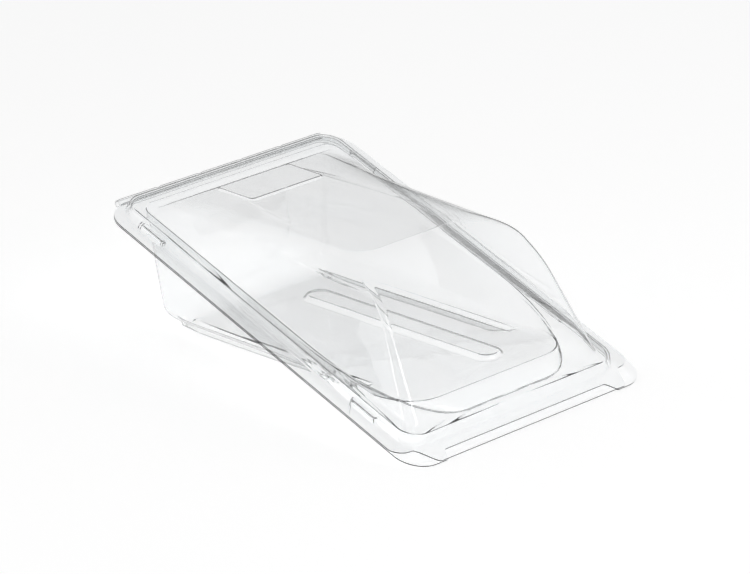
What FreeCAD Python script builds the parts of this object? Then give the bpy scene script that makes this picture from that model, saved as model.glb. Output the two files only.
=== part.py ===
# Clear hinged clamshell pack with a slanting parting plane, in millimetres.
# A deep tray at the back runs out to almost nothing at the front, and the lid is the reverse.
# +Z is up, the hinge is at the back (+Y), the finger tabs are at the front (-Y).
# The pack rests on the heels of its two foot rails and on the front tabs, all at z = 0.
import FreeCAD, Part
import math
import os
from FreeCAD import Vector

# film and fits
film = 0.45              # thickness of the clear sheet
clearance = 0.25         # air between the lid and the tray where they nest

# rim plane, shared by the two flanges
rim_tilt = 15.5          # slope of the rim, down towards the front, degrees
flange_half = 65.0       # half the outer width of the flange
flange_length = 186.6    # back edge to straight front edge, measured along the slope
flange_back_round = 12.0
tab_reach = 5.2          # how far the finger tabs stand out from the front edge
lobe_width = 18.2        # each of the tray's two corner lobes
lobe_step = 2.2          # width of the step down from a lobe to the front edge
lobe_round = 12.0        # outer corner of a lobe
lobe_inner_round = 2.0
tab_slope = 4.5          # each end of the lid's wide middle tab slopes over this width
tab_round = 4.0
lid_corner_back = 6.6    # the lid's front corners are cut back this far
lid_corner_width = 9.0   # and over this width
lid_corner_slope = 2.0   # and run out towards the tab by this much

# raised bead that the lid snaps over, sizes of the tray's own bead
grip_side = 7.4          # flat flange outside the bead's foot, on the long sides
grip_front = 6.2         # at the front edge
grip_back = 1.9          # at the hinge
bead_height = 4.3
bead_draft = 1.0         # each wall leans in by this much over its height
bead_round = 8.0

# snap locks on the long sides of the bead
lock_length = 14.5
lock_height = 2.4
lock_reach = 1.2
lock_root = 2.0          # how far a lock runs back into the bead
lock_round = 0.6
lock_from_back = 14.6    # from the bead's back foot to the back locks
lock_from_front = 18.9   # from the bead's front foot to the front locks

# cavity of the tray at the ledge
ledge_side = 5.3         # from the bead's foot to the cavity
ledge_back = 7.2
ledge_front = 5.1
mouth_back_round = 5.0
mouth_front_round_side = 60.0   # the long front corners, along the side
mouth_front_round_end = 30.0    # and across the front

# floor of the tray
floor_inset_side = 12.0  # its edges stand in from the mouth by this much
floor_inset_back = 16.8
floor_inset_front = 17.4
floor_back_height = 3.7
floor_rise = 4.2         # slope of the floor, up towards the front, degrees
floor_back_round = 4.0
floor_front_round = 14.0
wall_share = 0.85        # share of the depth that is plain wall, the rest turns into the floor
turn_steps = (0.35, 0.65, 0.87, 1.0)   # loops in that turn, as shares of its height
wall_lean_side = 6.3
wall_lean_back = 3.2
wall_lean_front = 9.0

# pressed details of the tray
rib_middle = 13.9        # x of the long rib on the floor
rib_width = 12.8
rib_from_back = 11.9     # from the floor's back edge
rib_from_front = 2.9     # from its front edge
rib_end_round = 6.2      # its ends are almost half circles
rib_height = 1.6
rail_inset = 1.1         # the foot rails' middle lines stand in from the floor's edges
rail_width = 4.2
rail_overhang = 7.6      # they start this far behind the floor
rail_heel = 13.0         # length of the flat heel that stands on the table
rail_from_front = 31.4   # from the floor's front edge to where they begin to run out
rail_run_out = 12.0
bay_half = 28.0          # panel pressed into the back wall
bay_depth = 2.5
bay_bottom = 14.0
bay_top = 40.0

# dome of the lid
dome_inset_side = 23.5   # the flat top stands in from the foot by this much
dome_top_lean = 12.4     # lean of the side wall over its whole height
dome_side_share = 0.79   # share of the height that is plain side wall
dome_back_share = 0.18   # the back wall leans in by this share of the side walls' lean
dome_from_mouth = 4.2    # the dome starts this far in front of the cavity's back edge
dome_back_step = 0.15    # the top stands this high over the ledge there
top_rise = 3.3           # slope of the top, up towards the front, degrees
dome_front_run = 36.8    # run of the front face, to where its plane meets the top's
brow_radius = 29.5       # bend between them
dome_foot_round = 5.0
dome_top_front_round = 4.5
dome_top_back_round = 4.0
brow_steps = 10

# label panel raised on the top of the lid
label_middle = 3.0
label_width = 40.5
label_from_back = 4.3    # from the cavity's back edge
label_depth = 23.7
label_height = 0.6
label_round = 3.0

# hinge roll along the back edge
hinge_from_side = 9.0    # the roll ends this far inside the flange
hinge_radius = 1.8
hinge_cells = 5
hinge_cell_gap = 1.6
hinge_lap = 0.7          # the roll runs this far into the flange
hinge_neck = 0.25        # the necks between the cells are this much slimmer

# places worked out from the sizes above
slope = math.radians(rim_tilt)
slope_sin = math.sin(slope)
slope_cos = math.cos(slope)
tab_end = flange_length + tab_reach
lobe_inner = flange_half - lobe_width
bead_half = flange_half - grip_side
bead_front = flange_length - grip_front
bead_back = grip_back
mouth_half = bead_half - ledge_side
mouth_back = bead_back + ledge_back
mouth_front = bead_front - ledge_front
lock_starts = (bead_back + lock_from_back, bead_front - lock_from_front - lock_length)
hinge_half = flange_half - hinge_from_side
lid_shift = clearance + film    # from the tray's top surface to the lid's top surface
rim_back_z = tab_end * slope_sin + film * slope_cos
front_reach = tab_end * slope_cos + lid_shift * slope_sin
roll_reach = (hinge_radius - hinge_lap) * slope_cos - clearance / 2 * slope_sin + hinge_radius
rim_back_y = (front_reach - roll_reach) / 2    # the pack is centred on y = 0
floor_gain = math.tan(math.radians(floor_rise))
top_gain = math.tan(math.radians(top_rise))
quarter_weight = math.sqrt(0.5)     # middle weight that turns a corner's curve into a quarter circle
over = 3.0                          # how far a cutting tool runs past what it cuts


def on_rim(u, v, h):
    """A point u across, v forward along the slope and h square to the rim plane."""
    y = rim_back_y - v * slope_cos - h * slope_sin
    z = rim_back_z - v * slope_sin + h * slope_cos
    return Vector(u, y, z)


def rim_level(y, h):
    """Height of the plane at h over the rim plane, at a given y."""
    v = (rim_back_y - h * slope_sin - y) / slope_cos
    return rim_back_z - v * slope_sin + h * slope_cos


def rim_y(v, h):
    return on_rim(0, v, h).y


floor_half = mouth_half - floor_inset_side
floor_back = rim_y(mouth_back, bead_height) - floor_inset_back
floor_front = rim_y(mouth_front, bead_height) + floor_inset_front
rib_back = floor_back - rib_from_back
rib_front = floor_front + rib_from_front
rail_middle = floor_half - rail_inset
rail_back = floor_back + rail_overhang
rail_front = floor_front + rail_from_front
dome_back = mouth_back + dome_from_mouth
dome_top_half = mouth_half - dome_inset_side
dome_brow = rim_y(mouth_front, bead_height) + dome_front_run
label_back = rim_y(mouth_back, bead_height) - label_from_back


def floor_level(y):
    return floor_back_height + (floor_back - y) * floor_gain


def loop(corners, cuts):
    """A closed wire through corner points; each corner is rounded over its two setbacks."""
    edges = []
    count = len(corners)
    starts = []
    ends = []
    for i, corner in enumerate(corners):
        before = (corners[i - 1] - corner).normalize()
        after = (corners[(i + 1) % count] - corner).normalize()
        starts.append(corner + before * cuts[i][0])
        ends.append(corner + after * cuts[i][1])
    for i, corner in enumerate(corners):
        curve = Part.BezierCurve()
        curve.setPoles([starts[i], corner, ends[i]])
        curve.setWeight(2, quarter_weight)
        edges.append(curve.toShape())
        edges.append(Part.LineSegment(ends[i], starts[(i + 1) % count]).toShape())
    return Part.Wire(edges)


def even(size):
    return (size, size)


def rim_loop(outline, cuts, h):
    return loop([on_rim(u, v, h) for u, v in outline], cuts)


def slab(outline, cuts, bottom, top):
    """A plate of any outline between two heights over the rim plane."""
    face = Part.Face(rim_loop(outline, cuts, bottom))
    return face.extrude(on_rim(0, 0, top) - on_rim(0, 0, bottom))


def rectangle(half, back, front):
    return [(-half, back), (half, back), (half, front), (-half, front)]


def bead_block(spread, bottom, top):
    """The raised block inside the flange, its walls moved out by spread."""
    rings = []
    for h in (bottom, top):
        lean = bead_draft * (h - spread) / bead_height
        half = bead_half + spread - lean
        outline = rectangle(half, bead_back - spread + lean, bead_front + spread - lean)
        rings.append(rim_loop(outline, [even(bead_round)] * 4, h))
    return Part.makeLoft(rings, True, True)


def lock_blocks(spread, bottom, top):
    """Four lugs on the long sides of the bead."""
    blocks = []
    for side in (-1, 1):
        for start in lock_starts:
            inner = side * (bead_half - lock_root)
            outer = side * (bead_half + lock_reach + spread)
            back = start - spread
            front = start + lock_length + spread
            outline = [(inner, back), (outer, back), (outer, front), (inner, front)]
            blocks.append(slab(outline, [even(lock_round)] * 4, bottom, top))
    return blocks


def fuse_all(first, others):
    shape = first.multiFuse(others)
    return shape.removeSplitter()


def flange_outline_tray():
    lobe_end = lobe_inner - lobe_step
    outline = [(-flange_half, 0), (flange_half, 0), (flange_half, tab_end),
               (lobe_inner, tab_end), (lobe_end, flange_length),
               (-lobe_end, flange_length), (-lobe_inner, tab_end), (-flange_half, tab_end)]
    cuts = [even(flange_back_round), even(flange_back_round), even(lobe_round)]
    cuts += [even(lobe_inner_round)] * 4
    cuts += [even(lobe_round)]
    return outline, cuts


def flange_outline_lid():
    corner_half = flange_half - lid_corner_width
    corner_v = flange_length - lid_corner_back
    neck_v = corner_v + lid_corner_slope
    outline = [(-flange_half, 0), (flange_half, 0), (flange_half, corner_v),
               (corner_half, neck_v), (corner_half - tab_slope, tab_end),
               (tab_slope - corner_half, tab_end), (-corner_half, neck_v),
               (-flange_half, corner_v)]
    cuts = [even(flange_back_round), even(flange_back_round)]
    cuts += [even(tab_round)] * 6
    return outline, cuts


def turn_in(share, wall, lean, total):
    """Inset of a wall at a share of its height: straight at first, then a quarter round."""
    if share <= wall:
        return lean * share / wall
    rest = (share - wall) / (1 - wall)
    return lean + (total - lean) * (1 - math.sqrt(max(0.0, 1 - rest * rest)))


def tray_ring(share, spread):
    """A level loop of the tray between its mouth and its floor."""
    h = bead_height
    back_y = rim_y(mouth_back, h)
    front_y = rim_y(mouth_front, h)
    in_side = turn_in(share, wall_share, wall_lean_side, mouth_half - floor_half)
    in_back = turn_in(share, wall_share, wall_lean_back, back_y - floor_back)
    in_front = turn_in(share, wall_share, wall_lean_front, floor_front - front_y)
    half = mouth_half - in_side + spread
    back = back_y - in_back + spread
    front = front_y + in_front - spread

    def level(y):
        return (1 - share) * rim_level(y, h) + share * (floor_level(y) - spread)

    corners = [Vector(-half, back, level(back)), Vector(half, back, level(back)),
               Vector(half, front, level(front)), Vector(-half, front, level(front))]
    back_cut = even(mouth_back_round + (floor_back_round - mouth_back_round) * share)
    side_cut = mouth_front_round_side + (floor_front_round - mouth_front_round_side) * share
    end_cut = mouth_front_round_end + (floor_front_round - mouth_front_round_end) * share
    return loop(corners, [back_cut, back_cut, (side_cut, end_cut), (end_cut, side_cut)])


def tray_body(spread, top_h):
    """The tray as a filled form; its top is level with the rim plane at top_h."""
    shares = [0.0, wall_share]
    for step in turn_steps:
        shares.append(wall_share + (1 - wall_share) * step)
    rings = [tray_ring(share, spread) for share in shares]
    shift = on_rim(0, 0, top_h) - on_rim(0, 0, bead_height)
    if top_h > bead_height:
        rings.insert(0, rings[0].translated(shift))
    else:
        rings[0] = rings[0].translated(shift)
    return Part.makeLoft(rings, True, True)


def bay_block(grow):
    """The tool for the panel pressed into the back wall."""
    wall_y = rim_y(mouth_back, bead_height)
    depth = bay_depth + grow
    low = bay_bottom - grow
    high = bay_top + grow
    half = bay_half + grow
    lean_low = wall_lean_back * (1 - low / rim_back_z)
    lean_high = wall_lean_back * (1 - high / rim_back_z)
    profile = [Vector(-half, wall_y - lean_low - depth, low),
               Vector(-half, wall_y - lean_high - depth, high),
               Vector(-half, wall_y + over, high + depth),
               Vector(-half, wall_y + over, low - depth)]
    face = Part.Face(Part.makePolygon(profile + profile[:1]))
    return face.extrude(Vector(2 * half, 0, 0))


def rib_block(shrink, bottom, top):
    """Long rib with round ends on the floor."""
    half = rib_width / 2 - shrink
    radius = rib_end_round - shrink
    back = rib_back - shrink
    front = rib_front + shrink
    corners = []
    for x, y in ((-half, back), (half, back), (half, front), (-half, front)):
        corners.append(Vector(rib_middle + x, y, floor_level(y) + bottom))
    face = Part.Face(loop(corners, [even(radius)] * 4))
    return face.extrude(Vector(0, 0, top - bottom))


def rail_block(side, shrink, top):
    """Foot rail: a flat heel at z = 0, then a run parallel to the floor."""
    depth = floor_back_height - film
    heel_y = rail_back - rail_heel
    back = rail_back - shrink
    front = rail_front + shrink
    low = shrink
    run_z = floor_level(rail_front) - film - depth + shrink
    profile = [Vector(0, back, low), Vector(0, heel_y, low),
               Vector(0, front, run_z),
               Vector(0, front - rail_run_out, floor_level(front - rail_run_out) + top),
               Vector(0, back, floor_level(back) + top)]
    half = rail_width / 2 - shrink
    start = side * rail_middle - half
    points = [point + Vector(start, 0, 0) for point in profile]
    face = Part.Face(Part.makePolygon(points + points[:1]))
    return face.extrude(Vector(2 * half, 0, 0))


def half_roll(direction, radius, length, middle):
    """Half of a thin tube along X: -1 gives the lower half, 1 the upper."""
    centre_h = clearance / 2
    centre = on_rim(middle - length / 2, hinge_lap - hinge_radius, centre_h)
    along = Vector(1, 0, 0)
    tube = Part.makeCylinder(radius, length, centre, along)
    tube = tube.cut(Part.makeCylinder(hinge_radius - hinge_neck - film, length, centre, along))
    far = hinge_radius + over
    near = centre_h + direction * clearance / 2
    away = centre_h + direction * far
    outline = [(middle - length, -hinge_radius - far), (middle + length, -hinge_radius - far),
               (middle + length, far), (middle - length, far)]
    corners = [on_rim(u, v, near) for u, v in outline]
    face = Part.Face(Part.makePolygon(corners + corners[:1]))
    keep = face.extrude(on_rim(0, 0, away) - on_rim(0, 0, near))
    return tube.common(keep)


def hinge_half_roll(direction):
    pitch = 2 * hinge_half / hinge_cells
    neck = half_roll(direction, hinge_radius - hinge_neck, 2 * hinge_half, 0)
    cells = []
    for i in range(hinge_cells):
        middle = -hinge_half + pitch * (i + 0.5)
        cells.append(half_roll(direction, hinge_radius, pitch - hinge_cell_gap, middle))
    return neck, cells


def make_tray():
    outline, cuts = flange_outline_tray()
    plate = slab(outline, cuts, -film, 0)
    solid = fuse_all(plate, [bead_block(0, -film, bead_height)] + lock_blocks(0, -film, lock_height))
    hollow = fuse_all(bead_block(-film, -film - over, bead_height - film),
                      lock_blocks(-film, -film - over, lock_height - film))
    sheet = solid.cut(hollow).cut(tray_body(0, bead_height + over))
    outside = tray_body(film, bead_height - film / 2).cut(bay_block(0))
    rails = [rail_block(side, 0, -film / 2) for side in (-1, 1)]
    outside = fuse_all(outside, [rib_block(0, -film / 2, rib_height)] + rails)
    inside = tray_body(0, bead_height + over).cut(bay_block(film))
    inside = inside.cut(rib_block(0, -over, rib_height))
    solid = fuse_all(sheet, [outside.cut(inside)])
    solid = solid.cut(rib_block(film, -film - over, rib_height - film))
    for side in (-1, 1):
        solid = solid.cut(rail_block(side, film, over))
    neck, cells = hinge_half_roll(-1)
    return fuse_all(solid, [neck] + cells)


def top_level(y):
    back_y = rim_y(dome_back, bead_height + lid_shift)
    back_z = rim_level(back_y, bead_height + lid_shift) + dome_back_step
    return back_z + (back_y - y) * top_gain


def brow_profile():
    """Front line of the dome from its foot to the flat top, as (y, z) points."""
    h = bead_height + lid_shift
    foot = (rim_y(mouth_front, h), rim_level(rim_y(mouth_front, h), h))
    corner = (dome_brow, top_level(dome_brow))
    face_angle = math.atan2(corner[1] - foot[1], corner[0] - foot[0])
    top_angle = -math.radians(top_rise)
    turn = face_angle - top_angle
    reach = brow_radius * math.tan(turn / 2)
    centre_y = corner[0] + reach * math.cos(top_angle) + brow_radius * math.sin(top_angle)
    centre_z = corner[1] + reach * math.sin(top_angle) - brow_radius * math.cos(top_angle)
    points = [foot]
    for i in range(brow_steps + 1):
        angle = face_angle - turn * i / brow_steps
        points.append((centre_y - brow_radius * math.sin(angle),
                       centre_z + brow_radius * math.cos(angle)))
    return points


def dome_ring(share, front, shrink):
    """A level loop of the dome between its foot and its flat top."""
    h = bead_height + lid_shift
    lean = dome_top_lean * dome_side_share
    inset = turn_in(share, dome_side_share, lean, mouth_half - dome_top_half)
    half = mouth_half - inset - shrink
    back = rim_y(dome_back, h) - inset * share * dome_back_share - shrink
    front = front + shrink

    def level(y):
        return (1 - share) * rim_level(y, h) + share * (top_level(y) - shrink)

    corners = [Vector(-half, back, level(back)), Vector(half, back, level(back)),
               Vector(half, front, level(front)), Vector(-half, front, level(front))]
    back_cut = even(dome_foot_round + (dome_top_back_round - dome_foot_round) * share)
    front_cut = even(dome_foot_round + (dome_top_front_round - dome_foot_round) * share)
    return loop(corners, [back_cut, back_cut, front_cut, front_cut])


def dome_body(shrink, bottom_drop):
    """The dome as a filled form that reaches bottom_drop below the ledge."""
    h = bead_height + lid_shift
    rings = []
    for y, z in brow_profile():
        low = rim_level(y, h)
        share = (z - low) / (top_level(y) - low)
        rings.append(dome_ring(min(1.0, max(0.0, share)), y, shrink))
    drop = on_rim(0, 0, -bottom_drop) - on_rim(0, 0, 0)
    rings.insert(0, rings[0].translated(drop))
    return Part.makeLoft(rings, True, True)


def label_block(shrink, bottom, top):
    half = label_width / 2 - shrink
    back = label_back - shrink
    front = label_back - label_depth + shrink
    corners = []
    for x, y in ((-half, back), (half, back), (half, front), (-half, front)):
        corners.append(Vector(label_middle + x, y, top_level(y) + bottom))
    face = Part.Face(loop(corners, [even(label_round)] * 4))
    return face.extrude(Vector(0, 0, top - bottom))


def make_lid():
    outline, cuts = flange_outline_lid()
    plate = slab(outline, cuts, clearance, lid_shift)
    crown = bead_height + lid_shift
    block = bead_block(lid_shift, clearance, crown)
    solid = fuse_all(plate, [block] + lock_blocks(lid_shift, clearance, lock_height + lid_shift))
    hollow = fuse_all(bead_block(clearance, clearance - over, bead_height + clearance),
                      lock_blocks(clearance, clearance - over, lock_height + clearance))
    solid = solid.cut(hollow)
    outside = dome_body(0, film / 2)
    solid = fuse_all(solid, [outside, label_block(0, -film / 2, label_height)])
    inside = dome_body(film, film + over)
    solid = solid.cut(inside)
    solid = solid.cut(label_block(film, -film - over, label_height - film))
    neck, cells = hinge_half_roll(1)
    return fuse_all(solid, [neck] + cells)


def save(name, shape):
    shape.exportStep("parts/" + name + ".step")
    box = shape.BoundBox
    print(name, "solids", len(shape.Solids), "valid", shape.isValid(),
          "volume", round(shape.Volume, 1), "faces", len(shape.Faces),
          "z", round(box.ZMin, 2), round(box.ZMax, 2),
          "y", round(box.YMin, 2), round(box.YMax, 2))


os.makedirs("parts", exist_ok=True)
save("base_tray", make_tray())
save("lid", make_lid())
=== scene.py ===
import math

import bmesh
import bpy
import numpy as np
from bpy.props import FloatProperty, FloatVectorProperty, PointerProperty
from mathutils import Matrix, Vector


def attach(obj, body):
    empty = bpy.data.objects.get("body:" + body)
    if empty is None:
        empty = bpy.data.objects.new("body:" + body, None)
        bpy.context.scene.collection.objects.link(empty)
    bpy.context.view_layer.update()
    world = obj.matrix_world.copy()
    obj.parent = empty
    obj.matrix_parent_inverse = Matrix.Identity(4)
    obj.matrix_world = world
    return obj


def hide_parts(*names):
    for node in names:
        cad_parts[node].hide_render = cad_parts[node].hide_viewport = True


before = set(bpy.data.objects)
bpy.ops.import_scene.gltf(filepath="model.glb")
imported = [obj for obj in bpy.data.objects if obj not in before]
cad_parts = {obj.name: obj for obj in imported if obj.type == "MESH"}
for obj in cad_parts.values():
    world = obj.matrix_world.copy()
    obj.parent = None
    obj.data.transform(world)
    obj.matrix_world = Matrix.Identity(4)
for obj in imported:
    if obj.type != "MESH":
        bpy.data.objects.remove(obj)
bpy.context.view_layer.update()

bl_info = {
    "name": "Clamshell pack",
    "version": (1, 0, 0),
    "blender": (4, 5, 0),
    "location": "View3D > Sidebar > Pack",
    "description": "Formed film skins of a hinged clamshell pack, their clear finish and a plain studio",
    "category": "Object",
}

# Sizes of the pack are in millimetres, those of the studio and the ripple's depth in metres
MM = 0.001

# Rim plane, which slopes down to the front from its back edge
SLOPE = math.radians(15.5)
RIM_BACK_Y = 91.0921
RIM_BACK_Z = 51.6898

# Film, the gap between tray and lid, and the widths over which the film bends
FILM = 0.45
ROLL_FILM = 0.2
CLEARANCE = 0.25
BEAD_FOOT_BEND = 0.7
LOCK_UNDER_BEND = 0.4
LOCK_OVER_BEND = 0.3
CROWN_BEND = 0.95
MOUTH_BEND = 0.4
DOME_FOOT_BEND = 1.1
RIB_BEND = 0.7
LABEL_BEND = 0.5

# Flange with its tabs
FLANGE_HALF = 65.0
FLANGE_LENGTH = 186.6
FLANGE_ROUND = 12.0
TAB_REACH = 5.2
TAB_END = FLANGE_LENGTH + TAB_REACH
LOBE_INNER = 46.8
LOBE_STEP = 2.2
LOBE_EASE = 0.7
LID_FRONT_HALF = 58.0
CORNER_BACK = 6.6
CORNER_WIDTH = 9.0
CORNER_SLOPE = 2.0
TAB_SLOPE = 4.5
TAB_ROUND = 4.0
TAB_EASE_IN = 1.1
TAB_EASE_OUT = 5.6

# Snap bead and its locks
BEAD_HALF = 57.6
BEAD_BACK = 1.9
BEAD_FRONT = 180.4
BEAD_HEIGHT = 4.3
BEAD_DRAFT = 1.0
BEAD_ROUND = 8.0
LOCK_STARTS = (16.5, 147.0)
LOCK_LENGTH = 14.5
LOCK_HEIGHT = 2.4
LOCK_REACH = 1.2
LOCK_EASE = 0.3
LOCK_SPREAD = 0.3

# Mouth and wall of the tray; the three leans are of the side, the back and the front
MOUTH_HALF = 52.3
MOUTH_BACK = 9.1
MOUTH_FRONT = 175.3
MOUTH_STEP = 1.3
MOUTH_STEP_SHARE = 0.5
MOUTH_TURN_SHARE = 0.002
MOUTH_TURN_IN = 0.25
WALL_START = 0.06
WALL_STRAIGHT = 0.85
WALL_LEANS = (6.3, 3.2, 9.0)

# Floor and its rib
FLOOR_SIDE_INSET = 12.0
FLOOR_BACK_INSET = 16.8
FLOOR_FRONT_INSET = 17.4
FLOOR_BACK_HEIGHT = 3.7
FLOOR_GAIN = math.tan(math.radians(4.2))
FLOOR_FRONT_PACE = 0.27
RIB_MIDDLE = 13.9
RIB_WIDTH = 12.8
RIB_ROUND = 6.2
RIB_HEIGHT = 1.6
RIB_LEAN = 1.0
RIB_BACK_GAP = 11.9
RIB_FRONT_GAP = 2.9

# Foot rails
RAIL_WIDTH = 4.2
RAIL_INSET = 1.1
RAIL_HEEL = 13.0
RAIL_OVERHANG = 7.6
RAIL_RUN_OUT = 12.0
RAIL_FRONT_GAP = 31.4
RAIL_EASE = 1.3
RAIL_END_EASE = 0.9
RAIL_ZONE = 7.0

# Panel pressed into the back wall
BAY_HALF = 28.0
BAY_DEPTH = 2.5
BAY_BOTTOM = 14.0
BAY_TOP = 40.0
BAY_EASE = 6.0
BAY_FOOT_EASE = 8.0
BAY_ZONE = 5.0

# Dome of the lid; its front corners are rounder at the foot and at the top than between them
DOME_BACK = 13.3
DOME_BACK_STEP = 0.15
DOME_INSET = 23.5
DOME_LEAN = 12.4
DOME_STRAIGHT = 0.79
DOME_ROUND = 2.2
DOME_FOOT_ROUND = 2.8
DOME_FOOT_FADE = 5.0
DOME_TOP_ROUND = 8.0
DOME_TOP_FADE = 10.0
TOP_TILT = math.radians(3.3)
TOP_GAIN = math.tan(TOP_TILT)
BROW_RUN = 34.2
BROW_RADIUS = 40.0
CREASE_TURN = math.radians(7.0)

# Corners seen from above: reach of the back ones, then of the front ones along the side and the front
BACK_ROUND = 5.0
BACK_ROUND_END = 4.0
MOUTH_ROUNDS = (BACK_ROUND, 60.0, 30.0)
FLOOR_ROUNDS = (BACK_ROUND_END, 14.0, 14.0)
LEAST_FLOOR_ROUND = 1.0

# Label panel on the top, and what is common to it and the rib
LABEL_MIDDLE = 3.0
LABEL_WIDTH = 40.5
LABEL_DEPTH = 22.9
LABEL_HEIGHT = 0.6
LABEL_ROUND = 3.0
LABEL_LEAN = 0.7
LABEL_GAP = 5.1
PANEL_PLATEAU = 2.6
LEAST_PANEL_HALF = 0.5
LEAST_PANEL_ROUND = 0.3

# Hinge roll, with its row of cells between narrow necks; its turns are in degrees
HINGE_HALF = 56.0
HINGE_RADIUS = 1.8
HINGE_LAP = 0.7
HINGE_CELLS = 5
HINGE_NECK = 0.25
NECK_START = 1.4
NECK_END = 0.5
HINGE_FIRST_TURN = 13
HINGE_LAST_TURN = 176

# Mesh columns: coarse and fine steps of each side, and the stretches that take the fine ones
BACK_STEPS = (3.2, 1.1)
FRONT_STEPS = (3.2, 0.6)
SIDE_STEPS = (3.0, 0.33)
BAY_WINDOW = (27.5, 32.0)
LOBE_WINDOW = 9.6
LOCK_WINDOW = 1.0
CORNER_COLUMNS = 14
HINGE_COLUMNS = 161

# Mesh rings: shares of the way along a wall or a face, closer at the bay's edges, and counts
WALL_RINGS = (0.12, 0.19, 0.225, 0.235, 0.242, 0.25, 0.257, 0.265, 0.275, 0.3, 0.4, 0.5, 0.6, 0.7,
              0.745, 0.755, 0.762, 0.77, 0.777, 0.785, 0.795, 0.82, 0.85)
FLOOR_TURN_RINGS = 20
FLOOR_RINGS = 16
FLOOR_RING_STEP = 0.3
FACE_START = 0.08
FACE_RINGS = (0.16, 0.28, 0.4, 0.52, 0.64, 0.76, 0.88)
BROW_RINGS = 26
CREASE_RINGS = 8
TOP_RINGS = ((0.35, 0.15), (1.4, 0.3))
HINGE_ROWS = 19

# Bends of the mesh: rings in a bend, the most of the room beside it that it takes, and its support rings
BEND_RINGS = 5
MOST_BEND = 0.44
SUPPORT_REACH = 1.5
MOST_SUPPORT = 0.48
LEAST_LENGTH = 1e-9
SHARP_BEND = math.radians(55)

# Finish of the film
FILM_IOR = 1.5
TRAY_CLEAR = 0.012
LID_CLEAR = 0.01
LID_CALM = 0.8
RIPPLE_STRENGTH = 0.25
RIPPLE_DEPTH = 0.0006
FLOW_STRETCH = (22.0, 9.0, 14.0)
FLOW_SCALE = 2.2
FLOW_DETAIL = 2.0
FLOW_TWIST = 0.6
GRAIN_SCALE = 190.0
GRAIN_DETAIL = 3.0
GRAIN_SHARE = 0.035
HAZE_STARTS = 0.45
HAZE_ENDS = 0.8
THIN_TINT = (0.975, 0.985, 0.99, 1)
FULL_TINT = (1.0, 1.0, 1.0, 1)

# Ground, room, lamps and camera
GROUND_REACH = 4.0
GROUND_DROP = 0.0004
GROUND_ROUGHNESS = 0.9
GROUND_SHINE = 0.1
ROOM_LOW = 0.2
ROOM_STOPS = ((0.2, 0.35), (0.38, 1.0))
LAMP_AIM = (0, 0, 0.03)
FRONT_LAMP_PLACE = (0.18, -1.09, 1.02)
FRONT_LAMP_SIZE = (0.35, 0.9)
SIDE_LAMP_PLACE = (-1.31, 0.47, 0.21)
SIDE_LAMP_SIZE = (0.35, 0.7)
CAMERA_PLACE = (-1.07222, -1.14301, 0.71418)
CAMERA_TURNS = (66.370, -0.341, -43.069)
CAMERA_REACH = 20
PICTURE_WIDTH = 750
FOCUS_PIXELS = 4236.6


def rim_y(forward, lift):
    """The y of a place forward along the slope and lifted square to the rim plane."""
    return RIM_BACK_Y - forward * math.cos(SLOPE) - lift * math.sin(SLOPE)


def rim_z(forward, lift):
    """The z of a place forward along the slope and lifted square to the rim plane."""
    return RIM_BACK_Z - forward * math.sin(SLOPE) + lift * math.cos(SLOPE)


def rim(across, forward, lift):
    """Points across, forward along the slope and lifted square to the rim plane."""
    return np.stack(np.broadcast_arrays(across, rim_y(forward, lift), rim_z(forward, lift)), -1)


def rim_level(y, lift):
    """Height over the table, at a given y, of the rim plane lifted square to itself."""
    forward = (RIM_BACK_Y - lift * math.sin(SLOPE) - y) / math.cos(SLOPE)
    return rim_z(forward, lift)


HALF_FILM_DOWN = rim(0, 0, -FILM / 2) - rim(0, 0, 0)
CROWN = BEAD_HEIGHT + CLEARANCE + FILM
MOUTH_BACK_Y = rim_y(MOUTH_BACK, BEAD_HEIGHT)
MOUTH_FRONT_Y = rim_y(MOUTH_FRONT, BEAD_HEIGHT)
DOME_BACK_Y = rim_y(DOME_BACK, CROWN)
DOME_BROW_Y = MOUTH_FRONT_Y + BROW_RUN
FLOOR_HALF = MOUTH_HALF - FLOOR_SIDE_INSET
FLOOR_BACK = MOUTH_BACK_Y - FLOOR_BACK_INSET
FLOOR_FRONT = MOUTH_FRONT_Y + FLOOR_FRONT_INSET
RIB_BACK = FLOOR_BACK - RIB_BACK_GAP
RIB_FRONT = FLOOR_FRONT + RIB_FRONT_GAP
RAIL_MIDDLE = FLOOR_HALF - RAIL_INSET
RAIL_BACK = FLOOR_BACK + RAIL_OVERHANG
RAIL_FRONT = FLOOR_FRONT + RAIL_FRONT_GAP
LABEL_BACK = MOUTH_BACK_Y - LABEL_GAP
END_LENGTH = 2 * (BEAD_HALF - BEAD_ROUND)
SIDE_LENGTH = BEAD_FRONT - BEAD_BACK - 2 * BEAD_ROUND


def floor_level(y):
    """Height of the tray's floor, which climbs towards the front."""
    return FLOOR_BACK_HEIGHT + (FLOOR_BACK - y) * FLOOR_GAIN


def top_level(y):
    """Height of the dome's flat top, which climbs towards the front."""
    return rim_level(DOME_BACK_Y, CROWN) + DOME_BACK_STEP + (DOME_BACK_Y - y) * TOP_GAIN


def blend(first, last, share):
    """The value at a share of the way from the first to the last."""
    return first + (last - first) * share


def ease(value, low, high):
    """0 below low, 1 above high and a smooth climb between them."""
    climb = np.clip((value - low) / (high - low), 0, 1)
    return climb * climb * (3 - 2 * climb)


def stations(length, windows, steps):
    """Places along one side as shares of its length, closer together in the windows."""
    coarse, fine = steps
    marks = [0.0]
    while marks[-1] < length:
        near = any(start <= marks[-1] < end for start, end in windows)
        step = fine if near else coarse
        ahead = [start for start, end in windows if marks[-1] < start < marks[-1] + step]
        marks.append(min(ahead) if ahead else marks[-1] + step)
    marks = np.array(marks)
    return marks[marks < length - fine / 2] / length


BACK, BACK_RIGHT, RIGHT, FRONT_RIGHT, FRONT, FRONT_LEFT, LEFT, BACK_LEFT = range(8)


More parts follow.
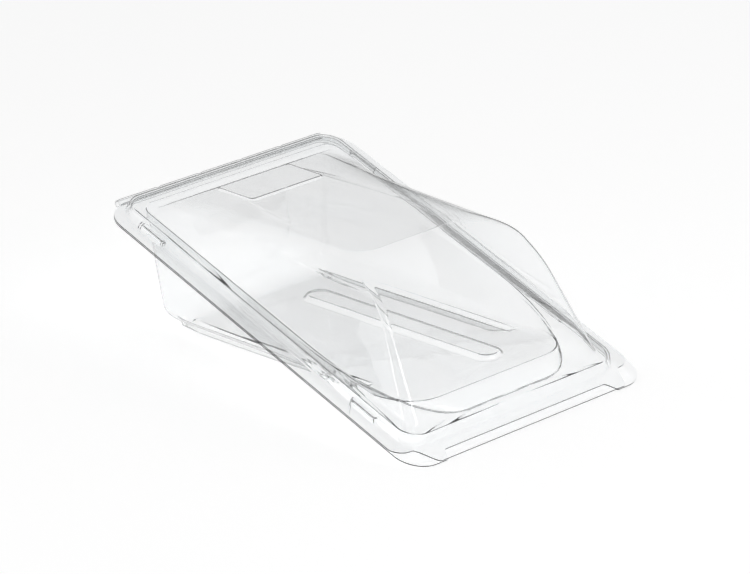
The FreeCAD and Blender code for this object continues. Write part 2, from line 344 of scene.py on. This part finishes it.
def make_columns():
    """The side and the share along it of every column of the skins, all round the pack."""
    half = END_LENGTH / 2
    near, far = BAY_WINDOW
    back = stations(END_LENGTH, [(half - far, half - near), (half + near, half + far)], BACK_STEPS)
    lobes = [(0.0, LOBE_WINDOW), (END_LENGTH - LOBE_WINDOW, END_LENGTH)]
    front = stations(END_LENGTH, lobes, FRONT_STEPS)
    lock_ends = []
    for start in LOCK_STARTS:
        for end in (start, start + LOCK_LENGTH):
            place = end - BEAD_BACK - BEAD_ROUND
            lock_ends.append((place - LOCK_WINDOW, place + LOCK_WINDOW))
    right = stations(SIDE_LENGTH, lock_ends, SIDE_STEPS)
    left = np.concatenate([[0.0], 1 - right[:0:-1]])
    corner = np.arange(CORNER_COLUMNS) / CORNER_COLUMNS
    groups = [back, corner, right, corner, front, corner, left, corner]
    kinds = np.concatenate([np.full(len(group), kind) for kind, group in enumerate(groups)])
    return kinds, np.concatenate(groups)


KIND, SHARE = make_columns()
COUNT = len(KIND)


def turn_corner(start, corner, end, share):
    """Places on a quarter turn between two points, round their corner."""
    weight = math.sqrt(0.5)
    first = (1 - share) ** 2
    middle = 2 * weight * share * (1 - share)
    last = share ** 2
    total = first + middle + last
    return [(first * start[i] + middle * corner[i] + last * end[i]) / total for i in (0, 1)]


def around(half, back, front, back_round, side_round, end_round, middle=0.0):
    """Closed ring of columns round a rectangle with turned corners.

    back and front are either two values of y or two places forward along the slope.
    """
    way = 1 if front > back else -1
    across = np.zeros(COUNT)
    along = np.zeros(COUNT)

    def put(kind, start, end, corner=None):
        pick = KIND == kind
        share = SHARE[pick]
        if corner is None:
            across[pick], along[pick] = [blend(start[i], end[i], share) for i in (0, 1)]
        else:
            across[pick], along[pick] = turn_corner(start, corner, end, share)

    near = back + way * back_round
    far = front - way * side_round
    put(BACK, (-half + back_round, back), (half - back_round, back))
    put(BACK_RIGHT, (half - back_round, back), (half, near), (half, back))
    put(RIGHT, (half, near), (half, far))
    put(FRONT_RIGHT, (half, far), (half - end_round, front), (half, front))
    put(FRONT, (half - end_round, front), (-half + end_round, front))
    put(FRONT_LEFT, (-half + end_round, front), (-half, far), (-half, front))
    put(LEFT, (-half, far), (-half, near))
    put(BACK_LEFT, (-half, near), (-half + back_round, back), (-half, back))
    return across + middle, along


def tray_edge():
    """Outer edge of the tray's flange, with its two corner lobes."""
    across, forward = around(FLANGE_HALF, 0, TAB_END, FLANGE_ROUND, FLANGE_ROUND, FLANGE_ROUND)
    pick = KIND == FRONT
    step = ease(np.abs(across[pick]), LOBE_INNER - LOBE_STEP - LOBE_EASE, LOBE_INNER + LOBE_EASE)
    forward[pick] = FLANGE_LENGTH + TAB_REACH * step
    return across, forward


def lid_edge():
    """Outer edge of the lid's flange, with its cut-back corners and wide middle tab."""
    corner_end = FLANGE_LENGTH - CORNER_BACK
    reach = FLANGE_HALF - LID_FRONT_HALF
    climb = reach / CORNER_WIDTH * CORNER_SLOPE
    across, forward = around(FLANGE_HALF, 0, corner_end, FLANGE_ROUND, TAB_ROUND, reach)
    rise = ease(SHARE, 0.0, 1.0) * climb
    forward[KIND == FRONT_RIGHT] += rise[KIND == FRONT_RIGHT]
    forward[KIND == FRONT_LEFT] += (climb - rise)[KIND == FRONT_LEFT]
    pick = KIND == FRONT
    tab_half = FLANGE_HALF - CORNER_WIDTH - TAB_SLOPE
    step = ease(np.abs(across[pick]), tab_half - TAB_EASE_IN, tab_half + TAB_EASE_OUT)
    forward[pick] = blend(TAB_END, corner_end + climb, step)
    return across, forward


def lock_mask():
    """1 on the columns that run through a lock, easing to 0 beside it."""
    forward = BEAD_BACK + BEAD_ROUND + np.where(KIND == RIGHT, SHARE, 1 - SHARE) * SIDE_LENGTH
    mask = np.zeros(COUNT)
    for start in LOCK_STARTS:
        end = start + LOCK_LENGTH
        begun = ease(forward, start - LOCK_EASE, start + LOCK_EASE)
        ended = ease(forward, end - LOCK_EASE, end + LOCK_EASE)
        mask += begun * (1 - ended)
    return mask * np.isin(KIND, (RIGHT, LEFT))


def bead_ring(shift, lift, push=0.0):
    """Ring on the bead's outer wall, lifted over the rim plane and pushed out where the locks are."""
    lean = BEAD_DRAFT * (np.mean(lift) - shift) / BEAD_HEIGHT
    across, forward = around(BEAD_HALF + shift - lean, BEAD_BACK - shift + lean,
                             BEAD_FRONT + shift - lean, BEAD_ROUND, BEAD_ROUND, BEAD_ROUND)
    across = across + np.sign(across) * push * (LOCK_REACH + lean)
    return rim(across, forward, lift)


def flange_and_bead(edge, shift):
    """Key rings from the flange's outer edge over the locks to the top of the bead."""
    mask = lock_mask()
    spread = LOCK_SPREAD * (1 - mask)
    lock_top = LOCK_HEIGHT + shift
    return [rim(*edge, shift),
            bead_ring(shift, shift, mask),
            bead_ring(shift, lock_top - spread, mask),
            bead_ring(shift, lock_top + spread),
            bead_ring(shift, BEAD_HEIGHT + shift)]


def unit(steps):
    """The steps brought to a length of 1, and their own lengths."""
    lengths = np.maximum(np.linalg.norm(steps, axis=1, keepdims=True), LEAST_LENGTH)
    return steps / lengths, lengths


def soften(keys, radii):
    """Rings through the key rings, each bent over its radius; with a radius of 0 a key stays as it is."""
    rings = []
    for i, key in enumerate(keys):
        if i in (0, len(keys) - 1) or not radii[i]:
            rings.append(key)
            continue
        back, back_room = unit(keys[i - 1] - key)
        ahead, ahead_room = unit(keys[i + 1] - key)
        radius = np.minimum(radii[i], MOST_BEND * np.minimum(back_room, ahead_room))
        rings.append(key + back * np.minimum(SUPPORT_REACH * radius, MOST_SUPPORT * back_room))
        start = key + back * radius
        end = key + ahead * radius
        for share in np.linspace(0, 1, BEND_RINGS):
            rings.append((1 - share) ** 2 * start + 2 * share * (1 - share) * key + share ** 2 * end)
        rings.append(key + ahead * np.minimum(SUPPORT_REACH * radius, MOST_SUPPORT * ahead_room))
    return rings


def turn_in(share, wall, lean, total):
    """How far a wall stands in at a share of its height: a straight lean, then a quarter turn."""
    if share <= wall:
        return lean * share / wall
    rest = (share - wall) / (1 - wall)
    return blend(lean, total, 1 - math.sqrt(max(0.0, 1 - rest * rest)))


def tray_ring(share, spread):
    """Ring of the tray at a share of the way from its mouth to its floor, spread outwards."""
    totals = (MOUTH_HALF - FLOOR_HALF, MOUTH_BACK_Y - FLOOR_BACK, FLOOR_FRONT - MOUTH_FRONT_Y)
    side, back, front = [turn_in(share, WALL_STRAIGHT, lean, total)
                         for lean, total in zip(WALL_LEANS, totals)]
    rounds = [blend(mouth, floor, share) for mouth, floor in zip(MOUTH_ROUNDS, FLOOR_ROUNDS)]
    x, y = around(MOUTH_HALF - side + spread, MOUTH_BACK_Y - back + spread,
                  MOUTH_FRONT_Y + front - spread, *rounds)
    z = (1 - share) * rim_level(y, BEAD_HEIGHT) + share * (floor_level(y) - spread)
    if share:
        z = z - MOUTH_STEP * max(0.0, 1 - share / MOUTH_STEP_SHARE) ** 2
    return np.stack([x, y, z], 1)


def press_bay(points):
    """Presses the shallow panel into the back wall."""
    x, y, z = points.T
    depth = ease(BAY_HALF - np.abs(x), 0, BAY_EASE) * ease(z, BAY_BOTTOM, BAY_BOTTOM + BAY_FOOT_EASE)
    depth = depth * (1 - ease(z, BAY_TOP - BAY_EASE, BAY_TOP)) * (y > MOUTH_BACK_Y - BAY_ZONE)
    points[:, 1] -= BAY_DEPTH * depth


def press_rails(points):
    """Presses the two foot rails down out of the floor and its back turn."""
    x, y, z = points.T
    depth = FLOOR_BACK_HEIGHT - FILM
    heel_y = RAIL_BACK - RAIL_HEEL
    under = floor_level(y) - FILM - depth
    under_front = floor_level(RAIL_FRONT) - FILM - depth
    foot = np.where(y > heel_y, 0.0, under_front * np.clip((heel_y - y) / (heel_y - RAIL_FRONT), 0, 1))
    fade = 1 - np.clip((RAIL_FRONT - y) / RAIL_RUN_OUT, 0, 1)
    foot = np.where(y < RAIL_FRONT, blend(z, under, fade), foot) + FILM / 2
    across = ease(RAIL_WIDTH / 2 - np.abs(np.abs(x) - RAIL_MIDDLE), 0, RAIL_EASE)
    along = 1 - ease(y, RAIL_BACK - RAIL_END_EASE, RAIL_BACK)
    mask = across * along * (z < floor_level(y) + RAIL_ZONE) * (fade > 0)
    points[:, 2] = blend(z, np.minimum(foot, z), mask)


def raised_panel(last, half, back, front, turn, middle, level, height, lean, bend):
    """Rings from the last ring up onto a raised panel with softened edges."""
    def outline(inset, lift):
        corner = max(turn - inset, LEAST_PANEL_ROUND)
        x, y = around(half - inset, back - inset, front + inset, corner, corner, corner, middle)
        return np.stack([x, y, level(y) + lift], 1)

    plateau = min(half - LEAST_PANEL_HALF, PANEL_PLATEAU)
    keys = [last, outline(0, 0), outline(lean, height), outline(plateau, height)]
    return soften(keys, [0, bend, bend, 0])[1:]


def cavity_rings():
    """Rings down the tray's wall and in over its floor, with the bay and the foot rails pressed."""
    turns = [math.sin(math.pi / 2 * i / FLOOR_TURN_RINGS) for i in range(1, FLOOR_TURN_RINGS + 1)]
    shares = list(WALL_RINGS) + [blend(WALL_STRAIGHT, 1, turn) for turn in turns]
    rings = [tray_ring(share, FILM / 2) for share in shares]
    back_round, side_round, end_round = FLOOR_ROUNDS
    for i in range(1, FLOOR_RINGS + 1):
        inset = FLOOR_RING_STEP * i
        x, y = around(FLOOR_HALF - inset + FILM / 2, FLOOR_BACK - inset,
                      FLOOR_FRONT + inset * FLOOR_FRONT_PACE,
                      max(back_round - inset, LEAST_FLOOR_ROUND), side_round - inset, end_round - inset)
        rings.append(np.stack([x, y, floor_level(y) - FILM / 2], 1))
    for ring in rings:
        press_bay(ring)
        press_rails(ring)
    return rings


def tray_rings(softness):
    """Rings of the tray from its flange over the bead and down the cavity to the rib."""
    keys = flange_and_bead(tray_edge(), -FILM / 2)
    keys += [tray_ring(0.0, FILM / 2) + HALF_FILM_DOWN,
             tray_ring(MOUTH_TURN_SHARE, FILM / 2 - MOUTH_TURN_IN),
             tray_ring(WALL_START, FILM / 2)]
    rings = soften(keys, [0, BEAD_FOOT_BEND * softness, LOCK_UNDER_BEND, LOCK_OVER_BEND,
                          CROWN_BEND * softness, MOUTH_BEND * softness, MOUTH_BEND * softness, 0])
    rings += cavity_rings()
    rings += raised_panel(rings[-1], RIB_WIDTH / 2, RIB_BACK, RIB_FRONT, RIB_ROUND, RIB_MIDDLE,
                          lambda y: floor_level(y) - FILM / 2, RIB_HEIGHT, RIB_LEAN, RIB_BEND * softness)
    return rings


def brow_line():
    """Front line of the dome from its foot over the brow to the flat top, as (y, z)."""
    foot_y = rim_y(MOUTH_FRONT, CROWN)
    foot_z = rim_level(foot_y, CROWN)
    corner_z = top_level(DOME_BROW_Y)
    face = math.atan2(corner_z - foot_z, DOME_BROW_Y - foot_y)
    turn = face + TOP_TILT
    reach = BROW_RADIUS * math.tan(turn / 2)
    end_y = DOME_BROW_Y + reach * math.cos(TOP_TILT)
    end_z = corner_z - reach * math.sin(TOP_TILT)
    centre_y = end_y - BROW_RADIUS * math.sin(TOP_TILT)
    centre_z = end_z - BROW_RADIUS * math.cos(TOP_TILT)
    points = [(foot_y, foot_z)]
    for i in range(BROW_RINGS + 1):
        angle = face - (turn - CREASE_TURN) * i / BROW_RINGS
        points.append((centre_y - BROW_RADIUS * math.sin(angle), centre_z + BROW_RADIUS * math.cos(angle)))
    ahead = BROW_RADIUS * math.tan(CREASE_TURN / 2)
    crease_y = end_y - ahead * math.cos(TOP_TILT)
    crease_z = end_z + ahead * math.sin(TOP_TILT)
    last_y, last_z = points[-1]
    for i in range(1, CREASE_RINGS + 1):
        share = 1 - (1 - i / CREASE_RINGS) ** 2
        points.append((blend(last_y, crease_y, share), blend(last_z, crease_z, share)))
    return points


def dome_ring(y_front, z_front, shrink):
    """Ring of the dome whose front stands at a point of the brow line."""
    low = rim_level(y_front, CROWN)
    share = min(1.0, max(0.0, (z_front - low) / (top_level(y_front) - low)))
    inset = turn_in(share, DOME_STRAIGHT, DOME_LEAN * DOME_STRAIGHT, DOME_INSET)
    at_foot = max(0.0, 1 - share * DOME_FOOT_FADE)
    at_top = max(0.0, share * DOME_TOP_FADE - (DOME_TOP_FADE - 1))
    front_round = DOME_ROUND + DOME_FOOT_ROUND * at_foot + DOME_TOP_ROUND * at_top ** 2
    x, y = around(MOUTH_HALF - inset - shrink, DOME_BACK_Y - shrink, y_front + shrink,
                  blend(BACK_ROUND, BACK_ROUND_END, share), front_round, front_round)
    z = (1 - share) * rim_level(y, CROWN) + share * (top_level(y) - shrink)
    return np.stack([x, y, z], 1)


def top_ring(y_front, inset, back_inset):
    """Ring on the dome's flat top, set in from its edge."""
    front_round = DOME_ROUND + DOME_TOP_ROUND - inset
    x, y = around(MOUTH_HALF - DOME_INSET - FILM / 2 - inset, DOME_BACK_Y - FILM / 2 - back_inset,
                  y_front + FILM / 2 + inset, BACK_ROUND_END, front_round, front_round)
    return np.stack([x, y, top_level(y) - FILM / 2], 1)


def lid_rings(softness):
    """Rings of the lid from its flange over the bead and up the dome to the label panel."""
    line = brow_line()
    foot = dome_ring(*line[0], FILM / 2) + HALF_FILM_DOWN
    brow = dome_ring(*line[1], FILM / 2)
    keys = flange_and_bead(lid_edge(), CLEARANCE + FILM / 2)
    keys += [foot, blend(foot, brow, FACE_START)]
    rings = soften(keys, [0, BEAD_FOOT_BEND * softness, LOCK_UNDER_BEND, LOCK_OVER_BEND,
                          CROWN_BEND * softness, DOME_FOOT_BEND * softness, 0])
    rings += [blend(foot, brow, share) for share in FACE_RINGS]
    rings += [dome_ring(y, z, FILM / 2) for y, z in line[1:]]
    rings += [top_ring(line[-1][0], inset, back_inset) for inset, back_inset in TOP_RINGS]
    rings += raised_panel(rings[-1], LABEL_WIDTH / 2, LABEL_BACK, LABEL_BACK - LABEL_DEPTH, LABEL_ROUND,
                          LABEL_MIDDLE, lambda y: top_level(y) - FILM / 2, LABEL_HEIGHT, LABEL_LEAN,
                          LABEL_BEND * softness)
    return rings


def quad(row, left, right, count):
    """Face between two columns of one row and of the next row."""
    low = row * count
    high = low + count
    return low + left, low + right, high + right, high + left


def hinge_grid(lower):
    """Points and faces of one half of the hinge roll, with its row of cells."""
    pitch = 2 * HINGE_HALF / HINGE_CELLS
    xs = np.linspace(-HINGE_HALF, HINGE_HALF, HINGE_COLUMNS)
    off_middle = np.abs((xs + HINGE_HALF) % pitch - pitch / 2)
    neck = ease(off_middle, pitch / 2 - NECK_START, pitch / 2 - NECK_END)
    radius = HINGE_RADIUS - HINGE_NECK * neck - FILM / 2
    way = -1 if lower else 1
    rows = []
    for turn in np.radians(np.linspace(HINGE_FIRST_TURN, HINGE_LAST_TURN, HINGE_ROWS) * way):
        forward = HINGE_LAP - HINGE_RADIUS + radius * math.cos(turn)
        rows.append(rim(xs, forward, CLEARANCE / 2 + radius * math.sin(turn)))
    faces = [quad(row, column, column + 1, HINGE_COLUMNS)
             for row in range(HINGE_ROWS - 1) for column in range(HINGE_COLUMNS - 1)]
    return np.vstack(rows), faces


def ring_grid(rings):
    """Points and faces of nested closed rings, the innermost closed with one flat face."""
    faces = [quad(row, column, (column + 1) % COUNT, COUNT)
             for row in range(len(rings) - 1) for column in range(COUNT)]
    last = (len(rings) - 1) * COUNT
    faces.append(tuple(range(last, last + COUNT)))
    return np.vstack(rings), faces


def join_grids(grids):
    """The points, now in metres, and the faces of several grids as one set."""
    points = []
    faces = []
    for grid_points, grid_faces in grids:
        first = sum(len(part) for part in points)
        points.append(grid_points)
        faces += [tuple(first + i for i in face) for face in grid_faces]
    return np.vstack(points) * MM, faces


def open_edges(faces):
    """The edges that only one face uses, each in the direction of that face."""
    uses = {}
    for face in faces:
        for start, end in zip(face, face[1:] + face[:1]):
            uses.setdefault((min(start, end), max(start, end)), []).append((start, end))
    return [ways[0] for ways in uses.values() if len(ways) == 1]


def surface_normals(mesh, points, faces):
    """Normals at the points of a surface, for which the mesh is filled and emptied again."""
    mesh.from_pydata(points.tolist(), [], faces)
    normals = np.zeros(len(points) * 3)
    mesh.vertex_normals.foreach_get("vector", normals)
    mesh.clear_geometry()
    return normals.reshape(-1, 3)


def shade(mesh):
    """Shades the mesh smooth, but for the edges that bend sharply."""
    shape = bmesh.new()
    shape.from_mesh(mesh)
    bmesh.ops.recalc_face_normals(shape, faces=shape.faces)
    for face in shape.faces:
        face.smooth = True
    for edge in shape.edges:
        if len(edge.link_faces) == 2 and edge.calc_face_angle(0.0) > SHARP_BEND:
            edge.smooth = False
    shape.to_mesh(mesh)
    shape.free()


def film_shell(name, grids, films, material):
    """A closed skin over the given middle surfaces, each of its own thickness in millimetres."""
    mesh = bpy.data.meshes.new(name)
    middle, faces = join_grids(grids)
    count = len(middle)
    half = np.concatenate([np.full(len(points), film * MM / 2) for (points, _), film in zip(grids, films)])
    offset = surface_normals(mesh, middle, faces) * half[:, None]
    shell = list(faces) + [tuple(count + i for i in reversed(face)) for face in faces]
    shell += [(end, start, count + start, count + end) for start, end in open_edges(faces)]
    mesh.from_pydata(np.vstack([middle + offset, middle - offset]).tolist(), [], shell)
    mesh.validate()
    shade(mesh)
    mesh.materials.append(material)
    skin = bpy.data.objects.new(name, mesh)
    bpy.context.scene.collection.objects.link(skin)
    return skin


def add_node(tree, kind, values=None):
    """A new node with some of its inputs set."""
    node = tree.nodes.new(kind)
    for socket, value in (values or {}).items():
        node.inputs[socket].default_value = value
    return node


def add_sockets(group):
    """Inputs and outputs of the film's shared effect."""
    sockets = group.interface
    for label, value in (("Draw", 1.0), ("Clear", 0.015), ("Haze", 0.05)):
        sockets.new_socket(name=label, in_out="INPUT", socket_type="NodeSocketFloat").default_value = value
    for label in ("Height", "Roughness"):
        sockets.new_socket(name=label, in_out="OUTPUT", socket_type="NodeSocketFloat")
    sockets.new_socket(name="Tint", in_out="OUTPUT", socket_type="NodeSocketColor")


def film_flow_group():
    """Shared effect: how formed film wanders in thickness, clarity and tint."""
    name = "film_flow"
    if name in bpy.data.node_groups:
        return bpy.data.node_groups[name]
    group = bpy.data.node_groups.new(name, "ShaderNodeTree")
    add_sockets(group)
    links = group.links
    inlet = add_node(group, "NodeGroupInput")
    outlet = add_node(group, "NodeGroupOutput")
    place = add_node(group, "ShaderNodeTexCoord")
    stretch = add_node(group, "ShaderNodeMapping", {"Scale": FLOW_STRETCH})
    links.new(place.outputs["Object"], stretch.inputs["Vector"])
    wave = add_node(group, "ShaderNodeTexNoise",
                    {"Scale": FLOW_SCALE, "Detail": FLOW_DETAIL, "Distortion": FLOW_TWIST})
    links.new(stretch.outputs["Vector"], wave.inputs["Vector"])
    grain = add_node(group, "ShaderNodeTexNoise", {"Scale": GRAIN_SCALE, "Detail": GRAIN_DETAIL})
    links.new(place.outputs["Object"], grain.inputs["Vector"])
    sheet = add_node(group, "ShaderNodeMath", {1: GRAIN_SHARE})
    sheet.operation = "MULTIPLY_ADD"
    links.new(grain.outputs["Fac"], sheet.inputs[0])
    links.new(wave.outputs["Fac"], sheet.inputs[2])
    height = add_node(group, "ShaderNodeMath")
    height.operation = "MULTIPLY"
    links.new(sheet.outputs[0], height.inputs[0])
    links.new(inlet.outputs["Draw"], height.inputs[1])
    links.new(height.outputs[0], outlet.inputs["Height"])
    haze = add_node(group, "ShaderNodeMapRange", {"From Min": HAZE_STARTS, "From Max": HAZE_ENDS})
    links.new(wave.outputs["Fac"], haze.inputs["Value"])
    links.new(inlet.outputs["Clear"], haze.inputs["To Min"])
    links.new(inlet.outputs["Haze"], haze.inputs["To Max"])
    links.new(haze.outputs["Result"], outlet.inputs["Roughness"])
    tint = add_node(group, "ShaderNodeValToRGB")
    tint.color_ramp.elements[0].color = THIN_TINT
    tint.color_ramp.elements[1].color = FULL_TINT
    links.new(wave.outputs["Fac"], tint.inputs["Fac"])
    links.new(tint.outputs["Color"], outlet.inputs["Tint"])
    return group


def film_material(name, draw, clear, haze):
    """Clear glossy film that bends light, and lets plain light through to the table."""
    material = bpy.data.materials.new(name)
    material.use_nodes = True
    tree = material.node_tree
    links = tree.links
    skin = tree.nodes["Principled BSDF"]
    skin.inputs["IOR"].default_value = FILM_IOR
    skin.inputs["Transmission Weight"].default_value = 1.0
    flow = tree.nodes.new("ShaderNodeGroup")
    flow.node_tree = film_flow_group()
    flow.inputs["Draw"].default_value = draw
    flow.inputs["Clear"].default_value = clear
    flow.inputs["Haze"].default_value = haze
    bump = add_node(tree, "ShaderNodeBump", {"Strength": RIPPLE_STRENGTH, "Distance": RIPPLE_DEPTH})
    links.new(flow.outputs["Height"], bump.inputs["Height"])
    links.new(bump.outputs["Normal"], skin.inputs["Normal"])
    links.new(flow.outputs["Roughness"], skin.inputs["Roughness"])
    links.new(flow.outputs["Tint"], skin.inputs["Base Color"])
    pass_through = add_node(tree, "ShaderNodeBsdfTransparent")
    path = add_node(tree, "ShaderNodeLightPath")
    mix = add_node(tree, "ShaderNodeMixShader")
    links.new(path.outputs["Is Shadow Ray"], mix.inputs["Fac"])
    links.new(skin.outputs["BSDF"], mix.inputs[1])
    links.new(pass_through.outputs["BSDF"], mix.inputs[2])
    links.new(mix.outputs["Shader"], tree.nodes["Material Output"].inputs["Surface"])
    return material


def ground_material(colour, glow):
    """Pale matt ground that shows near white itself and still takes the pack's shadow."""
    material = bpy.data.materials.new("pale_ground")
    material.use_nodes = True
    tree = material.node_tree
    ground = tree.nodes["Principled BSDF"]
    ground.inputs["Base Color"].default_value = (*colour, 1)
    ground.inputs["Roughness"].default_value = GROUND_ROUGHNESS
    ground.inputs["Specular IOR Level"].default_value = GROUND_SHINE
    ground.inputs["Emission Color"].default_value = (1, 1, 1, 1)
    path = add_node(tree, "ShaderNodeLightPath")
    seen = add_node(tree, "ShaderNodeMath")
    seen.operation = "MAXIMUM"
    tree.links.new(path.outputs["Is Camera Ray"], seen.inputs[0])
    tree.links.new(path.outputs["Is Transmission Ray"], seen.inputs[1])
    strength = add_node(tree, "ShaderNodeMath", {1: glow})
    strength.operation = "MULTIPLY"
    tree.links.new(seen.outputs[0], strength.inputs[0])
    tree.links.new(strength.outputs[0], ground.inputs["Emission Strength"])
    return material


def lay_ground(look):
    """Large pale ground just under the pack."""
    corners = [(x * GROUND_REACH, y * GROUND_REACH, 0) for x, y in ((-1, -1), (1, -1), (1, 1), (-1, 1))]
    mesh = bpy.data.meshes.new("ground")
    mesh.from_pydata(corners, [], [(0, 1, 2, 3)])
    ground = bpy.data.objects.new("ground", mesh)
    ground.location.z = -GROUND_DROP
    bpy.context.scene.collection.objects.link(ground)
    mesh.materials.append(ground_material(look.ground, look.glow))


def make_room(colour):
    """World that the film mirrors, darker below than above."""
    world = bpy.data.worlds.new("room")
    bpy.context.scene.world = world
    world.use_nodes = True
    tree = world.node_tree
    place = add_node(tree, "ShaderNodeTexCoord")
    split = add_node(tree, "ShaderNodeSeparateXYZ")
    ramp = add_node(tree, "ShaderNodeValToRGB")
    stops = ramp.color_ramp.elements
    for where, share in ROOM_STOPS:
        stops.new(where).color = (*[part * share for part in colour], 1)
    stops[0].color = (*[part * ROOM_LOW for part in colour], 1)
    stops[-1].color = (*colour, 1)
    tree.links.new(place.outputs["Generated"], split.inputs["Vector"])
    tree.links.new(split.outputs["Z"], ramp.inputs["Fac"])
    tree.links.new(ramp.outputs["Color"], tree.nodes["Background"].inputs["Color"])


def softbox(name, place, size, power):
    """Rectangular lamp turned towards the pack."""
    lamp = bpy.data.lights.new(name, "AREA")
    lamp.shape = "RECTANGLE"
    lamp.size, lamp.size_y = size
    lamp.energy = power
    holder = bpy.data.objects.new(name, lamp)
    bpy.context.scene.collection.objects.link(holder)
    holder.location = place
    holder.rotation_euler = (Vector(LAMP_AIM) - Vector(place)).to_track_quat("-Z", "Y").to_euler()


def place_camera():
    """Camera that stands where the pack was seen from; its lens gives the same width of picture."""
    camera = bpy.data.cameras.new("camera")
    camera.lens = FOCUS_PIXELS * camera.sensor_width / PICTURE_WIDTH
    camera.clip_end = CAMERA_REACH
    holder = bpy.data.objects.new("camera", camera)
    bpy.context.scene.collection.objects.link(holder)
    holder.location = CAMERA_PLACE
    holder.rotation_euler = [math.radians(turn) for turn in CAMERA_TURNS]
    bpy.context.scene.camera = holder


class PackSizes(bpy.types.PropertyGroup):
    """Sizes and finish of the film skins"""
    film: FloatProperty(name="Film thickness", description="Thickness of the formed film, in millimetres",
                        default=FILM, min=0.2, max=0.8)
    roll_film: FloatProperty(name="Roll thickness", default=ROLL_FILM, min=0.1, max=0.6,
                             description="Thickness of the film drawn thin in the hinge roll")
    softness: FloatProperty(name="Edge softness", description="How widely the film bends at its edges",
                            default=1.0, min=0.3, max=1.6, subtype="FACTOR")
    ripple: FloatProperty(name="Ripple", description="How strongly the film wanders from an even sheet",
                          default=1.0, min=0.0, max=4.0, subtype="FACTOR")
    haze: FloatProperty(name="Haze", description="Roughness of the film where it was drawn thinnest",
                        default=0.05, min=0.0, max=0.4, subtype="FACTOR")


class StudioLook(bpy.types.PropertyGroup):
    """Ground, surroundings and lamps"""
    ground: FloatVectorProperty(name="Ground colour", description="Colour of the matt ground", size=3,
                                default=(0.9, 0.9, 0.9), min=0, max=1, subtype="COLOR")
    surround: FloatVectorProperty(name="Surround colour", size=3, default=(0.5, 0.5, 0.5), min=0, max=1,
                                  description="Colour of the room that the film mirrors", subtype="COLOR")
    glow: FloatProperty(name="Ground glow", description="Share of white that the ground shows by itself",
                        default=0.44, min=0.0, max=1.0, subtype="FACTOR")
    key_power: FloatProperty(name="Key lamp", description="Power of the softbox at the front", default=4.0,
                             min=0.0, max=50.0, unit="POWER")
    rim_power: FloatProperty(name="Side lamp", description="Power of the softbox at the side", default=3.0,
                             min=0.0, max=50.0, unit="POWER")


class PACK_OT_tray_skin(bpy.types.Operator):
    """Form the tray: flange with corner lobes, bead with locks, cavity, rib, foot rails and half the hinge"""
    bl_idname = "pack.tray_skin"
    bl_label = "Tray skin"

    def execute(self, context):
        sizes = context.scene.pack_sizes
        material = film_material("clear_film_tray", sizes.ripple, TRAY_CLEAR, sizes.haze)
        grids = [ring_grid(tray_rings(sizes.softness)), hinge_grid(True)]
        skin = film_shell("tray_skin", grids, (sizes.film, sizes.roll_film), material)
        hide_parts("base_tray")
        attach(skin, "base")
        return {"FINISHED"}


class PACK_OT_lid_skin(bpy.types.Operator):
    """Form the lid: flange with a middle tab, bead with locks, dome, label panel and half the hinge"""
    bl_idname = "pack.lid_skin"
    bl_label = "Lid skin"

    def execute(self, context):
        sizes = context.scene.pack_sizes
        material = film_material("clear_film_lid", sizes.ripple * LID_CALM, LID_CLEAR, sizes.haze * LID_CALM)
        grids = [ring_grid(lid_rings(sizes.softness)), hinge_grid(False)]
        skin = film_shell("lid_skin", grids, (sizes.film, sizes.roll_film), material)
        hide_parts("lid")
        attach(skin, "lid")
        return {"FINISHED"}


class PACK_OT_studio(bpy.types.Operator):
    """Make the room, lay the pale ground, set the lamps and place the camera"""
    bl_idname = "pack.studio"
    bl_label = "Studio"

    def execute(self, context):
        look = context.scene.studio_look
        context.scene.view_settings.view_transform = "Standard"
        make_room(look.surround)
        lay_ground(look)
        softbox("front_softbox", FRONT_LAMP_PLACE, FRONT_LAMP_SIZE, look.key_power)
        softbox("side_softbox", SIDE_LAMP_PLACE, SIDE_LAMP_SIZE, look.rim_power)
        place_camera()
        return {"FINISHED"}


class PACK_PT_panel(bpy.types.Panel):
    """Lists the pieces of the pack and its studio"""
    bl_idname = "PACK_PT_panel"
    bl_label = "Clamshell pack"
    bl_space_type = "VIEW_3D"
    bl_region_type = "UI"
    bl_category = "Pack"

    def draw(self, context):
        layout = self.layout
        for group in (context.scene.pack_sizes, context.scene.studio_look):
            for name in group.bl_rna.properties.keys():
                if name not in ("rna_type", "name"):
                    layout.prop(group, name)
        for operator in (PACK_OT_tray_skin, PACK_OT_lid_skin, PACK_OT_studio):
            layout.operator(operator.bl_idname)


classes = (PackSizes, StudioLook, PACK_OT_tray_skin, PACK_OT_lid_skin, PACK_OT_studio, PACK_PT_panel)


def register():
    for cls in classes:
        bpy.utils.register_class(cls)
    bpy.types.Scene.pack_sizes = PointerProperty(type=PackSizes)
    bpy.types.Scene.studio_look = PointerProperty(type=StudioLook)


def unregister():
    del bpy.types.Scene.studio_look
    del bpy.types.Scene.pack_sizes
    for cls in reversed(classes):
        bpy.utils.unregister_class(cls)


def main():
    """Builds the pack and its studio."""
    register()
    bpy.ops.pack.tray_skin()
    bpy.ops.pack.lid_skin()
    bpy.ops.pack.studio()


if __name__ == "__main__":
    main()
